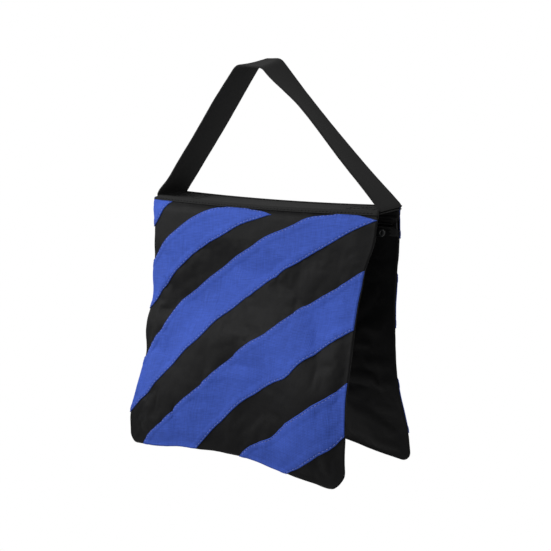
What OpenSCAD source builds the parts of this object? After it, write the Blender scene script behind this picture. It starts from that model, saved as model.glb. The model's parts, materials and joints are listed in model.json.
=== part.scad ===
// Saddle sandbag for light stands: two zipped pouches joined by a narrow webbing saddle,
// hung from one webbing handle. Origin: under the middle of the handle's flat top, where it
// hangs. X runs along the ridge, the front pouch is on the -Y side, Z is up.

/* [Pouches] */
// Width of each pouch along the ridge
pouch_w = 240; // [190:5:320]
// Length of each pouch, from its fold line down to its bottom edge
pouch_h = 230; // [180:5:320]
// How much a pouch narrows on each side towards the bottom
pouch_taper = 4; // [0:1:10]
// Radius of the bottom corners
corner_r = 9; // [5:1:25]
// Room inside an empty pouch, between its outer and inner panels
pouch_room = 4; // [4:0.5:20]
// Thickness of the nylon panels
panel_t = 1; // [0.6:0.1:1.5]
// Thickness of the stripes sewn on the outer panels
stripe_t = 0.8; // [0.4:0.1:1.2]
// How far the front pouch stands out from straight down
front_flare = 14; // [0:1:30]
// How far the back pouch stands out from straight down
back_flare = 5; // [0:1:30]

/* [Saddle and handle] */
// Width of the webbing, which is also the width of the saddle
strap_w = 38; // [32:1:60]
// Thickness of the webbing
strap_t = 1.8; // [1.2:0.1:2.4]
// Height of the hanging point above the saddle
handle_h = 122; // [90:1:180]
// Length of the handle's level top, measured between its bend corners
handle_top = 30; // [24:1:60]
// Inside radius of the two bends at the handle's top
handle_bend_r = 7; // [3:1:9]
// How far the saddle's middle lies to the right of the hanging point
saddle_shift = 12; // [0:1:20]
// Distance from a pouch's side edge to the inside of the handle's foot
foot_inset = 3; // [3:0.5:8]
// Radius of the bindings along the two saddle edges
binding_r = 2.2; // [2:0.1:2.6]

/* [Zips] */
// Distance of the zip below the fold line
zip_drop = 16; // [14:1:30]
// Width of one zip tape
tape_w = 9; // [8:0.5:11]
// Thickness of the zip tapes
tape_t = 0.7; // [0.4:0.1:0.8]
// Width of one row of zip teeth
tooth_w = 2.2; // [1.8:0.1:2.6]
// Height of the zip teeth above the tape
tooth_h = 1.4; // [1.2:0.1:1.8]
// Gap between the two rows, where the slider's neck runs
row_gap = 1.4; // [1.2:0.1:2]
// Distance from a pouch's side edge to the end of the zip
zip_end = 5; // [3:0.5:15]
// Length of a stop at the end of a zip
stop_l = 2; // [1.5:0.5:3]
// Length of a slider
slider_l = 10; // [9:0.5:14]
// Thickness of a slider's plates and flanges
slider_t = 0.8; // [0.6:0.1:0.8]
// Length of a pull tab from its pin
pull_l = 18; // [12:1:24]
// Width of a pull tab
pull_w = 6; // [5:0.5:8]
// Radius of a pull tab's pin
pin_r = 0.6; // [0.5:0.1:0.8]

/* [Sand liners] */
// Distance of a liner's mouth below the fold line
liner_drop = 26; // [25:1:50]
// Thickness of the liner cloth
liner_t = 0.6; // [0.4:0.1:0.8]
// Width of a liner's side and bottom seam
liner_seam = 3; // [2:0.5:6]
// Height of the hook and loop tapes that close a liner
closure_w = 16; // [10:1:25]

/* [Hidden] */

$fn = 48;
overlap = 1;              // how far a cutting shape reaches past what it cuts
slide_gap = 0.3;          // clearance round a part that slides or swings

// Colours
black_nylon = "#2a2a2a";
black_webbing = "#1c1c1c";
blue_oxford = "#3c52b4";
grey_liner = "#6c6f73";
black_moulded = "#161616";
dark_metal = "#303236";

// Levels through a pouch, along its own Y, with its fold line at 0
inner_face = 1;                                   // the side that faces the other pouch
room_top = inner_face - panel_t;                  // back of the inner panels
room_base = room_top - pouch_room;                // back of the outer panel
outer_face = room_base - panel_t;
fold_gap = binding_r + slide_gap;                 // where a pouch's cloth starts below the fold

// Levels through the saddle, along Z, with the fold lines at 0
saddle_stack = panel_t + strap_t;
web_top = saddle_stack / 2;
web_base = web_top - strap_t;
saddle_base = -saddle_stack / 2;
// The saddle panel stops where the bindings reach in under it, so its underside is bare
panel_half = strap_w / 2 - sqrt(pow(binding_r, 2) - pow(saddle_base, 2)) - slide_gap;

// The sewn ends of the handle stay inside this radius about the ridge, and the loose part
// outside it, so a leg clears a pouch that lies flat when the handle leans all the way
foot_reach = 13;
foot_r = strap_w / 2 + foot_reach;

// Zip layout
neck_t = row_gap - 2 * slide_gap;
neck_half_l = 2;
row_half = row_gap / 2 + tooth_w;                 // from the zip's middle to a row's far edge
slider_half = row_half + slide_gap + slider_t;
slit_half = slider_half + slide_gap;
cap_base = room_top + tooth_h + slide_gap;        // underside of a slider's cap
cap_top = cap_base + slider_t;
sole_top = room_top - tape_t - slide_gap;         // top of a slider's sole
pin_level = cap_top + pin_r + slide_gap;
bail_base = pin_level + pin_r + slide_gap;
bail_half_l = 3.4;
bail_half_w = 0.9;
bail_t = 0.8;
teeth_end = pouch_half(zip_drop) - zip_end - stop_l;
slider_reach = teeth_end - slider_l / 2 - slide_gap;

// Half the pouch's width at a distance below the fold line
function pouch_half(drop) = pouch_w / 2 - pouch_taper * drop / pouch_h;

// Points of an arc about [x, z]
function arc(x, z, r, from, to, steps = 6) =
    [for (i = [0:steps]) let (a = from + (to - from) * i / steps) [x + r * cos(a), z + r * sin(a)]];

// Outline of a pouch from one distance below the fold line down, all edges moved in by inset
function pouch_outline(top, inset = 0) =
    let (
        r = corner_r - inset,
        x_top = pouch_half(top) - inset,
        x_low = pouch_half(pouch_h - corner_r) - inset,
        z_low = inset - pouch_h
    )
    concat(
        [[-x_top, -top]],
        arc(r - x_low, z_low + r, r, 180, 270),
        arc(x_low - r, z_low + r, r, 270, 360),
        [[x_top, -top]]
    );

// Edges of the stripes as circles on the outer panel: [x, z, radius], from the top left
// corner on. A stripe lies inside its upper edge's circle and outside its lower edge's.
stripe_edges = [
    [[-120, 0, 34], [-32, -78, 100]],
    [[-20, -114, 111], [67, -221, 218]],
    [[151, -305, 310], [402, -579, 638]],
    [[558, -776, 850], [589, -806, 850]],
    [[608, -837, 850], [606, -883, 850]]
];

// Places a shape that is drawn about the ridge's middle
module at_ridge() {
    translate([saddle_shift, 0, -handle_h]) children();
}

// Places a shape that is drawn in the front pouch's own frame on either pouch
module on_pouch(back) {
    at_ridge()
        rotate([0, 0, back ? 180 : 0])
            translate([0, -strap_w / 2, 0])
                rotate([back ? -back_flare : -front_flare, 0, 0])
                    children();
}

// A flat outline in X and Z, made thick from y_low to y_high
module sheet(y_low, y_high) {
    translate([0, y_high, 0])
        rotate([90, 0, 0])
            linear_extrude(y_high - y_low)
                children();
}

// A block given by its limits
module block(x, y, z) {
    translate([x[0], y[0], z[0]])
        cube([x[1] - x[0], y[1] - y[0], z[1] - z[0]]);
}

// A block that runs along the zip: from x[0] to x[1], and across it from w[0] to w[1] upwards
module zip_block(x, y, w) {
    block(x, y, [w[0] - zip_drop, w[1] - zip_drop]);
}

// ---- Handle and saddle ----

// The whole webbing loop above the saddle, before its ends are told from its loose part
module handle_loop() {
    foot_z = web_top - strap_t / 2 - handle_h;
    foot_left = saddle_shift - pouch_w / 2 + foot_inset;
    foot_right = saddle_shift + pouch_w / 2 - foot_inset;
    half_top = handle_top / 2;
    lean_left = atan2(-foot_z, -half_top - foot_left);
    lean_right = atan2(-foot_z, foot_right - half_top);
    bend_left = handle_bend_r * tan(lean_left / 2) - half_top;
    bend_right = half_top - handle_bend_r * tan(lean_right / 2);
    outer_r = handle_bend_r + strap_t;
    rotate([90, 0, 0])
        linear_extrude(strap_w, center = true)
            polygon(concat(
                [[foot_left, foot_z]],
                arc(bend_left, -handle_bend_r, handle_bend_r, 90 + lean_left, 90),
                arc(bend_right, -handle_bend_r, handle_bend_r, 90, 90 - lean_right),
                [[foot_right, foot_z], [foot_right + strap_t / sin(lean_right), foot_z]],
                arc(bend_right, -handle_bend_r, outer_r, 90 - lean_right, 90),
                arc(bend_left, -handle_bend_r, outer_r, 90, 90 + lean_left),
                [[foot_left - strap_t / sin(lean_left), foot_z]]
            ));
}

// A round bar along the whole ridge
module ridge_bar(r, longer = 0) {
    rotate([0, 90, 0])
        cylinder(h = pouch_w + 2 * longer, r = r, center = true);
}

module handle_strap() {
    color(black_webbing)
        difference() {
            handle_loop();
            at_ridge() ridge_bar(foot_r + slide_gap, overlap);
        }
}

module strap_base() {
    color(black_webbing)
        union() {
            intersection() {
                handle_loop();
                at_ridge() ridge_bar(foot_r, overlap);
            }
            at_ridge()
                block([-pouch_w / 2, pouch_w / 2], [-strap_w / 2, strap_w / 2], [web_base, web_top]);
        }
}

module saddle_panel() {
    color(black_nylon)
        at_ridge()
            block([-pouch_w / 2, pouch_w / 2], [-panel_half, panel_half], [saddle_base, web_base]);
}

module ridge_binding(side) {
    color(black_nylon)
        difference() {
            at_ridge() translate([0, side * strap_w / 2, 0]) ridge_bar(binding_r);
            saddle_panel();
            strap_base();
        }
}

module front_ridge_binding() ridge_binding(-1);
module back_ridge_binding() ridge_binding(1);

// A box of stitches with a cross in it, on the webbing inside each foot of the handle
module strap_box_stitches() {
    box_l = 28;
    box_margin = 5;           // from the webbing's selvedge
    box_end = 8;              // from the handle's foot
    thread = 0.6;
    box_w = strap_w - 2 * box_margin;
    box_x = pouch_w / 2 - foot_inset - box_end - box_l / 2;
    slant = atan2(box_w, box_l);
    diagonal = norm([box_l, box_w]) - thread;
    color("#3a3a3a")
        at_ridge()
            for (side = [-1, 1])
                translate([side * box_x, 0, web_top])
                    linear_extrude(thread / 2) {
                        difference() {
                            square([box_l, box_w], center = true);
                            square([box_l - 2 * thread, box_w - 2 * thread], center = true);
                        }
                        for (a = [-slant, slant])
                            rotate(a) square([diagonal, thread], center = true);
                    }
}

// ---- Pouch cloth ----

module outer_panel(back) {
    color(black_nylon)
        on_pouch(back)
            difference() {
                sheet(outer_face, room_top) polygon(pouch_outline(fold_gap));
                sheet(room_base, room_top + overlap)
                    polygon(pouch_outline(fold_gap + panel_t, panel_t));
            }
}

module stripe(back, number) {
    upper = stripe_edges[number - 1][0];
    lower = stripe_edges[number - 1][1];
    color(blue_oxford)
        on_pouch(back)
            sheet(outer_face - stripe_t, outer_face)
                intersection() {
                    polygon(pouch_outline(fold_gap));
                    difference() {
                        translate([upper[0], upper[1]]) circle(upper[2], $fn = 360);
                        translate([lower[0], lower[1]]) circle(lower[2], $fn = 360);
                    }
                }
}

module inner_panel_upper(back) {
    low = zip_drop - slit_half;
    color(black_nylon)
        on_pouch(back)
            sheet(room_top, inner_face)
                polygon([
                    [-pouch_half(fold_gap), -fold_gap], [-pouch_half(low), -low],
                    [pouch_half(low), -low], [pouch_half(fold_gap), -fold_gap]
                ]);
}

module inner_panel_lower(back) {
    color(black_nylon)
        on_pouch(back)
            sheet(room_top, inner_face)
                polygon(pouch_outline(zip_drop + slit_half));
}

// ---- Zips ----

// side is 1 for the row above the zip's middle and -1 for the row below it
module zip_tape(back, side) {
    half_l = pouch_half(zip_drop + row_gap / 2 + tape_w) - panel_t;
    edge = side * row_gap / 2;
    far = side * (row_gap / 2 + tape_w);
    color(black_webbing)
        on_pouch(back)
            zip_block([-half_l, half_l], [room_top - tape_t, room_top], [min(edge, far), max(edge, far)]);
}

module zip_teeth(back, side) {
    edge = side * row_gap / 2;
    far = side * row_half;
    color(black_moulded)
        on_pouch(back)
            zip_block([-teeth_end, teeth_end], [room_top, room_top + tooth_h], [min(edge, far), max(edge, far)]);
}

module zip_stops(back) {
    color(dark_metal)
        on_pouch(back)
            for (end = [-teeth_end - stop_l, teeth_end])
                zip_block([end, end + stop_l], [room_top, cap_base], [-row_half, row_half]);
}

module zip_slider(back) {
    x = [slider_reach - slider_l / 2, slider_reach + slider_l / 2];
    bail_top = bail_base + bail_t;
    color(dark_metal)
        on_pouch(back)
            union() {
                zip_block(x, [cap_base, cap_top], [-slider_half, slider_half]);
                zip_block(x, [sole_top - slider_t, sole_top], [-slider_half, slider_half]);
                for (w = [-slider_half, slider_half - slider_t])
                    zip_block(x, [room_top + slide_gap, cap_top], [w, w + slider_t]);
                zip_block([slider_reach - neck_half_l, slider_reach + neck_half_l], [sole_top - slider_t / 2, cap_top],
                    [-neck_t / 2, neck_t / 2]);
                zip_block([slider_reach - bail_half_l, slider_reach + bail_half_l],
                    [bail_base, bail_top], [-bail_half_w, bail_half_w]);
                for (post = [-bail_half_l, bail_half_l - bail_t])
                    zip_block([slider_reach + post, slider_reach + post + bail_t],
                        [cap_top - slider_t / 2, bail_top], [-bail_half_w, bail_half_w]);
            }
}

module zip_pull(back) {
    plate_start = norm([bail_half_l, bail_base + bail_t - pin_level]) + 2 * slide_gap;
    arm_in = bail_half_w + slide_gap;
    hole_r = pull_w / 4;
    color(dark_metal)
        on_pouch(back)
            translate([slider_reach, pin_level, -zip_drop])
                difference() {
                    union() {
                        cylinder(h = pull_w, r = pin_r, center = true);
                        block([plate_start, pull_l], [-pin_r, pin_r], [-pull_w / 2, pull_w / 2]);
                        for (z = [-pull_w / 2, arm_in])
                            block([0, plate_start + pin_r], [-pin_r, pin_r], [z, z + pull_w / 2 - arm_in]);
                    }
                    translate([pull_l - 2 * hole_r, 0, 0])
                        rotate([90, 0, 0])
                            cylinder(h = 2 * pin_r + 2 * overlap, r = hole_r, center = true);
                }
}

// ---- Sand liners ----

liner_low = room_base + slide_gap;
liner_high = room_top - tape_t;
mouth_mid = (liner_low + liner_high) / 2;

module liner(back) {
    color(grey_liner)
        on_pouch(back)
            difference() {
                sheet(liner_low, liner_high) polygon(pouch_outline(liner_drop, panel_t));
                sheet(liner_low + liner_t, liner_high - liner_t)
                    polygon(pouch_outline(liner_drop - overlap, panel_t + liner_seam));
            }
}

module closure_tape(back, y_low, y_high) {
    half_l = pouch_half(liner_drop + closure_w) - panel_t - liner_seam;
    color(black_webbing)
        on_pouch(back)
            block([-half_l, half_l], [y_low, y_high], [-liner_drop - closure_w, -liner_drop]);
}

module liner_hook_tape(back) closure_tape(back, liner_low + liner_t, mouth_mid);
module liner_loop_tape(back) closure_tape(back, mouth_mid, liner_high - liner_t);

// ---- Assembly ----

handle_strap();
strap_base();
saddle_panel();
front_ridge_binding();
back_ridge_binding();
strap_box_stitches();
for (back = [false, true]) {
    side = back ? "back_" : "front_";
    outer_panel(back);
    for (number = [1:5])
        stripe(back, number);
    inner_panel_upper(back);
    inner_panel_lower(back);
    zip_tape(back, 1);
    zip_tape(back, -1);
    zip_teeth(back, 1);
    zip_teeth(back, -1);
    zip_stops(back);
    zip_slider(back);
    zip_pull(back);
    liner(back);
    liner_hook_tape(back);
    liner_loop_tape(back);
}
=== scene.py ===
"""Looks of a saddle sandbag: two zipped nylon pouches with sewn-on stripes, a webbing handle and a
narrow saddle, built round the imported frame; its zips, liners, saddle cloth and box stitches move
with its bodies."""

import json
import math

import bmesh
import bpy
import numpy as np
from mathutils import Matrix, Vector, noise


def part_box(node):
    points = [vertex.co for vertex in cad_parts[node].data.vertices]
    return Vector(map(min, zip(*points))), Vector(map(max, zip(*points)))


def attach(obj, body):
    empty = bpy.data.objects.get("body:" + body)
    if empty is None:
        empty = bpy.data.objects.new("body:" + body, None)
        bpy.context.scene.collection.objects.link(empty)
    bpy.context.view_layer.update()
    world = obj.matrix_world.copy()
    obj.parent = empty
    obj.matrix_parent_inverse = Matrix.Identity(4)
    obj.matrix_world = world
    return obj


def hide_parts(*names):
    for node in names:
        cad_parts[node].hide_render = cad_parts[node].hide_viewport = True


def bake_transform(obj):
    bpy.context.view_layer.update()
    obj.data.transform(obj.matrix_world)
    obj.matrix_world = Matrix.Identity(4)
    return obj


bl_info = {
    "name": "Saddle Sandbag",
    "version": (1, 0, 0),
    "blender": (4, 5, 0),
    "location": "View3D > Sidebar > Sandbag",
    "description": "Builds a saddle sandbag's cloth, webbing, zips and stage",
    "category": "Add Mesh",
}

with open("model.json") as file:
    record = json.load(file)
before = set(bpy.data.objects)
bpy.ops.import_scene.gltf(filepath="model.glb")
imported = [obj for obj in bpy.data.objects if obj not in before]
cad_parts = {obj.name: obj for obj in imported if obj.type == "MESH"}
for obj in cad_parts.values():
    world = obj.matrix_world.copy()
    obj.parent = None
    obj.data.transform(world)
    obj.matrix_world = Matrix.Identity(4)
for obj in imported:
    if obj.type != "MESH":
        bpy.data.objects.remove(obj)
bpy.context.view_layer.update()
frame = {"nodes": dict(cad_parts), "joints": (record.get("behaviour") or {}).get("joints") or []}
JOINTS = {joint["name"]: joint for joint in frame["joints"]}
MM = 0.001
SIDES = ("front", "back")


def hex_colour(code):
    """An sRGB hex colour as linear red, green, blue and alpha."""
    values = [int(code[i : i + 2], 16) / 255 for i in (1, 3, 5)]
    return tuple(v / 12.92 if v <= 0.04045 else ((v + 0.055) / 1.055) ** 2.4 for v in values) + (1.0,)


# ---- What a user may change ----


def length(name, description, default):
    return bpy.props.FloatProperty(
        name=name, description=description, default=default, unit="LENGTH", precision=5
    )


def power(name, description, default):
    return bpy.props.FloatProperty(
        name=name, description=description, default=default, unit="POWER"
    )


def colour(name, description, code):
    return bpy.props.FloatVectorProperty(
        name=name, description=description, default=hex_colour(code), size=4, subtype="COLOR"
    )


class SandbagCloth(bpy.types.PropertyGroup):
    """Sizes of the sewn cloth."""

    corner: length("Corner Radius", "Radius of a pouch's bottom corners", 9 * MM)
    taper: length("Taper", "How much a pouch narrows on each side towards its bottom", 4 * MM)
    body: length("Thickness", "Thickness of an empty pouch", 6 * MM)
    edge: length("Edge Thickness", "Thickness of a pouch at its side and bottom seams", 2.6 * MM)
    stripe: length("Stripe Lift", "How far a stripe stands above the panel it is sewn on", 0.5 * MM)
    skin: length("Cloth Thickness", "Thickness of one layer of cloth", 0.5 * MM)
    binding: length("Binding Height", "Height of the ridge bindings down a pouch", 2 * MM)
    stitch: length("Stitch Length", "Length of one stitch", 2.6 * MM)
    pitch: length("Stitch Pitch", "Distance from one stitch to the next", 3.6 * MM)
    thread: length("Thread Width", "Width of the sewing thread", 0.9 * MM)


class SandbagWebbing(bpy.types.PropertyGroup):
    """Sizes of the handle's webbing."""

    thickness: length("Thickness", "Thickness of the webbing", 1.8 * MM)
    top: length("Level Top", "Length of the handle's level top between its bend corners", 30 * MM)
    bend: length("Bend Radius", "Inside radius of the bends at the handle's top", 7 * MM)


class SandbagZip(bpy.types.PropertyGroup):
    """Sizes of the zips."""

    coil_pitch: length("Coil Pitch", "Distance from one turn of a zip's coil to the next", 1.4 * MM)
    tape: length("Tape Thickness", "Thickness of a zip tape", 0.5 * MM)


class SandbagColours(bpy.types.PropertyGroup):
    """Colours of the materials."""

    nylon: colour("Nylon", "Black nylon of the panels", "#111112")
    oxford: colour("Stripes", "Blue polyester of the stripes", "#3e5bbc")
    thread_blue: colour("Stripe Thread", "Thread along the stripes", "#8c9df0")
    webbing: colour("Webbing", "Black polypropylene webbing", "#0a0a0b")
    liner: colour("Liner", "Grey nylon of the sand liners", "#6c6f73")
    zip: colour("Zip", "Black nylon coil and tape of the zips", "#151516")
    enamel: colour("Slider", "Black enamel of the sliders and pulls", "#1f2022")


class SandbagStage(bpy.types.PropertyGroup):
    """Light and floor."""

    key: power("Key Light", "Light from the left", 3.35)
    top: power("Top Light", "Light from above", 1.6)
    ambient: bpy.props.FloatProperty(
        name="Ambient Light", description="Light from all round", default=0.37
    )
    floor_drop: length("Floor Drop", "Depth of the floor under the hanging point", 1.6)


GROUPS = {
    "sandbag_cloth": SandbagCloth,
    "sandbag_webbing": SandbagWebbing,
    "sandbag_zip": SandbagZip,
    "sandbag_colours": SandbagColours,
    "sandbag_stage": SandbagStage,
}


# ---- Materials ----


def add_node(tree, kind, inputs=None, **settings):
    """Adds a node, sets its own settings, and fills its inputs with values or links."""
    node = tree.nodes.new(kind)
    for key, value in settings.items():
        setattr(node, key, value)
    for key, value in (inputs or {}).items():
        if isinstance(value, bpy.types.NodeSocket):
            tree.links.new(value, node.inputs[key])
        else:
            node.inputs[key].default_value = value
    return node


def math_node(tree, operation, first, second=0.0):
    """The result of one sum on two values or sockets."""
    return add_node(tree, "ShaderNodeMath", {0: first, 1: second}, operation=operation).outputs[0]


def start_material(name, **shader):
    """Starts a material, and returns its tree, its Principled shader and its cloth coordinates."""
    material = bpy.data.materials.new(name)
    material.use_nodes = True
    tree = material.node_tree
    principled = tree.nodes["Principled BSDF"]
    for key, value in shader.items():
        principled.inputs[key.replace("_", " ")].default_value = value
    uv = add_node(tree, "ShaderNodeUVMap", uv_map="cloth").outputs[0]
    return tree, principled, uv


def plain_weave(tree, uv, pitch):
    """Height of a plain weave, 0 to 1: threads a pitch apart, over and under in turn."""
    x, y, _ = add_node(tree, "ShaderNodeSeparateXYZ", {0: uv}).outputs
    across = math_node(tree, "DIVIDE", x, pitch)
    along = math_node(tree, "DIVIDE", y, pitch)
    crowns = []
    for value in (across, along):
        wave = math_node(tree, "SINE", math_node(tree, "MULTIPLY", value, math.pi))
        crowns.append(math_node(tree, "ABSOLUTE", wave))
    cells = math_node(tree, "ADD", math_node(tree, "FLOOR", across), math_node(tree, "FLOOR", along))
    turn = math_node(tree, "PINGPONG", cells, 1.0)
    warp = math_node(tree, "MULTIPLY", crowns[0], math_node(tree, "SQRT", crowns[1]))
    weft = math_node(tree, "MULTIPLY", crowns[1], math_node(tree, "SQRT", crowns[0]))
    mix = add_node(tree, "ShaderNodeMix", {0: turn, 2: warp, 3: weft}, data_type="FLOAT")
    return mix.outputs[0]


def noise_node(tree, vector, scale, detail=2.0):
    """Noise from 0 to 1, with so many cells to the metre."""
    inputs = {"Vector": vector, "Scale": scale, "Detail": detail}
    return add_node(tree, "ShaderNodeTexNoise", inputs).outputs[0]


def streaks(tree, uv, long, short, detail=2.0):
    """Noise drawn out along the cloth's length: uneven threads."""
    scaled = add_node(tree, "ShaderNodeMapping", {"Vector": uv, "Scale": (1 / short, 1 / long, 1)})
    return noise_node(tree, scaled.outputs[0], 1.0, detail)


def uneven_threads(tree, uv, weft, warp, detail=2.0):
    """The mean of streaks across and along the cloth. Each is its width and its length."""
    crosswise = streaks(tree, uv, *weft, detail)
    lengthwise = streaks(tree, uv, *reversed(warp), detail)
    return math_node(tree, "MULTIPLY", math_node(tree, "ADD", crosswise, lengthwise), 0.5)


def object_place(tree):
    """Place on the object, in metres."""
    return add_node(tree, "ShaderNodeTexCoord").outputs["Object"]


def shade(tree, base, dark, light, factor):
    """A colour between two brightnesses of the base colour."""
    ends = [tuple(min(1.0, c * k) for c in base[:3]) + (1.0,) for k in (dark, light)]
    mix = add_node(tree, "ShaderNodeMix", {0: factor, 6: ends[0], 7: ends[1]}, data_type="RGBA")
    return mix.outputs[2]


def finish_cloth(tree, principled, colour_socket, height, depth):
    """Joins colour and relief to the shader."""
    tree.links.new(colour_socket, principled.inputs["Base Color"])
    bump = add_node(tree, "ShaderNodeBump", {"Height": height, "Strength": 0.7, "Distance": depth})
    tree.links.new(bump.outputs[0], principled.inputs["Normal"])


def coated_oxford_nylon(name, base):
    """Polyurethane-coated oxford nylon: a tight plain weave with a dull satin gloss, on which
    broad soft highlights follow the wrinkles. The 0.5 mm weave is drawn at 0.9 mm to show."""
    tree, principled, uv = start_material(name, Roughness=0.52, Sheen_Weight=0.02)
    principled.inputs["Specular IOR Level"].default_value = 0.15
    principled.inputs["Sheen Roughness"].default_value = 0.5
    weave = plain_weave(tree, uv, 0.9 * MM)
    threads = uneven_threads(tree, uv, (1.2 * MM, 16 * MM), (1.4 * MM, 22 * MM))
    tone = math_node(tree, "ADD", math_node(tree, "MULTIPLY", weave, 0.35), threads)
    height = math_node(tree, "ADD", weave, math_node(tree, "MULTIPLY", threads, 0.6))
    finish_cloth(tree, principled, shade(tree, base, 0.55, 1.3, tone), height, 0.12 * MM)


def woven_oxford_polyester(name, base):
    """Uncoated oxford polyester: a coarse open weave of uneven threads, matt with a soft sheen,
    so the blue looks dry and slightly streaked. The 0.7 mm weave is drawn at 1.25 mm to show."""
    tree, principled, uv = start_material(name, Roughness=0.72, Sheen_Weight=0.08)
    principled.inputs["Specular IOR Level"].default_value = 0.2
    principled.inputs["Sheen Roughness"].default_value = 0.4
    principled.inputs["Sheen Tint"].default_value = hex_colour("#8f9fe6")
    weave = plain_weave(tree, uv, 1.25 * MM)
    threads = uneven_threads(tree, uv, (1.3 * MM, 12 * MM), (1.5 * MM, 16 * MM), 3.0)
    patches = streaks(tree, uv, 60 * MM, 45 * MM, 1.0)
    tone = math_node(tree, "ADD", math_node(tree, "MULTIPLY", weave, 0.3), threads)
    tone = math_node(tree, "ADD", tone, math_node(tree, "MULTIPLY", patches, 0.3))
    height = math_node(tree, "ADD", weave, math_node(tree, "MULTIPLY", threads, 1.2))
    finish_cloth(tree, principled, shade(tree, base, 0.25, 1.4, tone), height, 0.3 * MM)


def polypropylene_webbing(name, base):
    """Ribbed polypropylene webbing: fine ribs run along it, crossed by a slanted weave, dull black
    with a faint real gloss. Its colour is also painted lighter on each rib's crown as a painted
    highlight, and darker between the ribs as painted shade."""
    tree, principled, uv = start_material(name, Roughness=0.68, Sheen_Weight=0.01)
    principled.inputs["Specular IOR Level"].default_value = 0.08
    x, y, _ = add_node(tree, "ShaderNodeSeparateXYZ", {0: uv}).outputs
    ribs = math_node(tree, "SINE", math_node(tree, "MULTIPLY", y, 2 * math.pi / (1.9 * MM)))
    slant = math_node(tree, "ADD", x, math_node(tree, "PINGPONG", y, 1.9 * MM))
    picks = math_node(tree, "SINE", math_node(tree, "MULTIPLY", slant, 2 * math.pi / (1.6 * MM)))
    threads = streaks(tree, uv, 1.2 * MM, 14 * MM)
    height = math_node(tree, "ADD", ribs, math_node(tree, "MULTIPLY", picks, 0.7))
    # the tone follows the ribs' height: painted highlight on their crowns and painted shade between
    # them, plus uneven threads at random
    tone = math_node(tree, "ADD", math_node(tree, "MULTIPLY", height, 0.25), threads)
    finish_cloth(tree, principled, shade(tree, base, 0.5, 1.8, tone), height, 0.3 * MM)


def polyester_thread(name, base):
    """Bonded polyester thread: smooth, slightly glossy, twisted every millimetre or so."""
    tree, principled, _ = start_material(name, Roughness=0.45)
    inputs = {"Vector": object_place(tree), "Scale": 1 / (7 * MM), "Distortion": 1.0}
    twist = add_node(tree, "ShaderNodeTexWave", inputs).outputs[1]
    finish_cloth(tree, principled, shade(tree, base, 0.75, 1.15, twist), twist, 0.05 * MM)


def knitted_tape(name, base):
    """Knitted polyester zip tape: fine wales along it, matt."""
    tree, principled, uv = start_material(name, Roughness=0.75)
    weave = plain_weave(tree, uv, 0.8 * MM)
    finish_cloth(tree, principled, shade(tree, base, 0.6, 1.3, weave), weave, 0.1 * MM)


def moulded_nylon(name, base):
    """Moulded or drawn nylon: dense black with a soft gloss and fine scuffs."""
    tree, principled, _ = start_material(name, Roughness=0.38)
    scuffs = noise_node(tree, object_place(tree), 900.0, 3.0)
    finish_cloth(tree, principled, shade(tree, base, 0.8, 1.3, scuffs), scuffs, 0.02 * MM)


def enamelled_zinc(name, base):
    """Die-cast zinc under black enamel: glossy, with specks where the enamel has rubbed."""
    tree, principled, _ = start_material(name, Metallic=0.6, Roughness=0.32)
    rubbed = noise_node(tree, object_place(tree), 700.0, 4.0)
    ramp = add_node(tree, "ShaderNodeMapRange", {0: rubbed, 1: 0.6, 2: 0.72}).outputs[0]
    finish_cloth(tree, principled, shade(tree, base, 1.0, 3.5, ramp), rubbed, 0.03 * MM)


def hook_and_loop(name, base):
    """Hook and loop tape: a dense matt pile with no gloss."""
    tree, principled, uv = start_material(name, Roughness=0.9)
    pile = add_node(tree, "ShaderNodeTexVoronoi", {"Vector": uv, "Scale": 1 / (0.9 * MM)}).outputs[0]
    finish_cloth(tree, principled, shade(tree, base, 0.6, 1.5, pile), pile, 0.4 * MM)


def white_floor(name):
    """A matt white studio floor with the faint unevenness of painted board."""
    tree, principled, _ = start_material(name, Roughness=0.9)
    uneven = noise_node(tree, object_place(tree), 3.0)
    base = (0.93, 0.93, 0.93, 1.0)
    finish_cloth(tree, principled, shade(tree, base, 0.98, 1.02, uneven), uneven, 0.1 * MM)


def make_materials():
    """All of the object's materials by name, made once."""
    tones = bpy.context.scene.sandbag_colours
    recipes = {
        "nylon": (coated_oxford_nylon, tones.nylon),
        "stripe": (woven_oxford_polyester, tones.oxford),
        "liner": (coated_oxford_nylon, tones.liner),
        "webbing": (polypropylene_webbing, tones.webbing),
        "blue_thread": (polyester_thread, tones.thread_blue),
        "black_thread": (polyester_thread, tones.nylon),
        "zip_tape": (knitted_tape, tones.zip),
        "zip_coil": (moulded_nylon, tones.zip),
        "enamel": (enamelled_zinc, tones.enamel),
        "closure": (hook_and_loop, tones.zip),
    }
    for name, (recipe, tone) in recipes.items():
        if name not in bpy.data.materials:
            recipe(name, tuple(tone))


# ---- Making meshes ----


def add_object(name, data):
    """Puts a new object with this data into the scene."""
    piece = bpy.data.objects.new(name, data)
    bpy.context.scene.collection.objects.link(piece)
    return piece


def finish_mesh(bm, name, material, slot):
    """Turns a bmesh into an object with its material; the slot is not used."""
    mesh = bpy.data.meshes.new(name)
    bm.to_mesh(mesh)
    bm.free()
    for polygon in mesh.polygons:
        polygon.use_smooth = True
    piece = add_object(name, mesh)
    mesh.materials.append(bpy.data.materials[material])
    return piece


def cloth_grid(columns, rows, place):
    """A grid whose vertices place() puts in space: it takes two arrays from 0 to 1 and gives
    positions and cloth coordinates. Faces point where columns times rows turns."""
    bm = bmesh.new()
    bmesh.ops.create_grid(bm, x_segments=columns, y_segments=rows, size=1.0)
    share = np.array([vert.co[:2] for vert in bm.verts]) / 2 + 0.5
    positions, flat = place(share[:, 0], share[:, 1])
    for vert, position in zip(bm.verts, positions):
        vert.co = position
    layer = bm.loops.layers.uv.new("cloth")
    bm.verts.index_update()
    for face in bm.faces:
        for loop in face.loops:
            loop[layer].uv = flat[loop.vert.index]
    return bm


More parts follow.
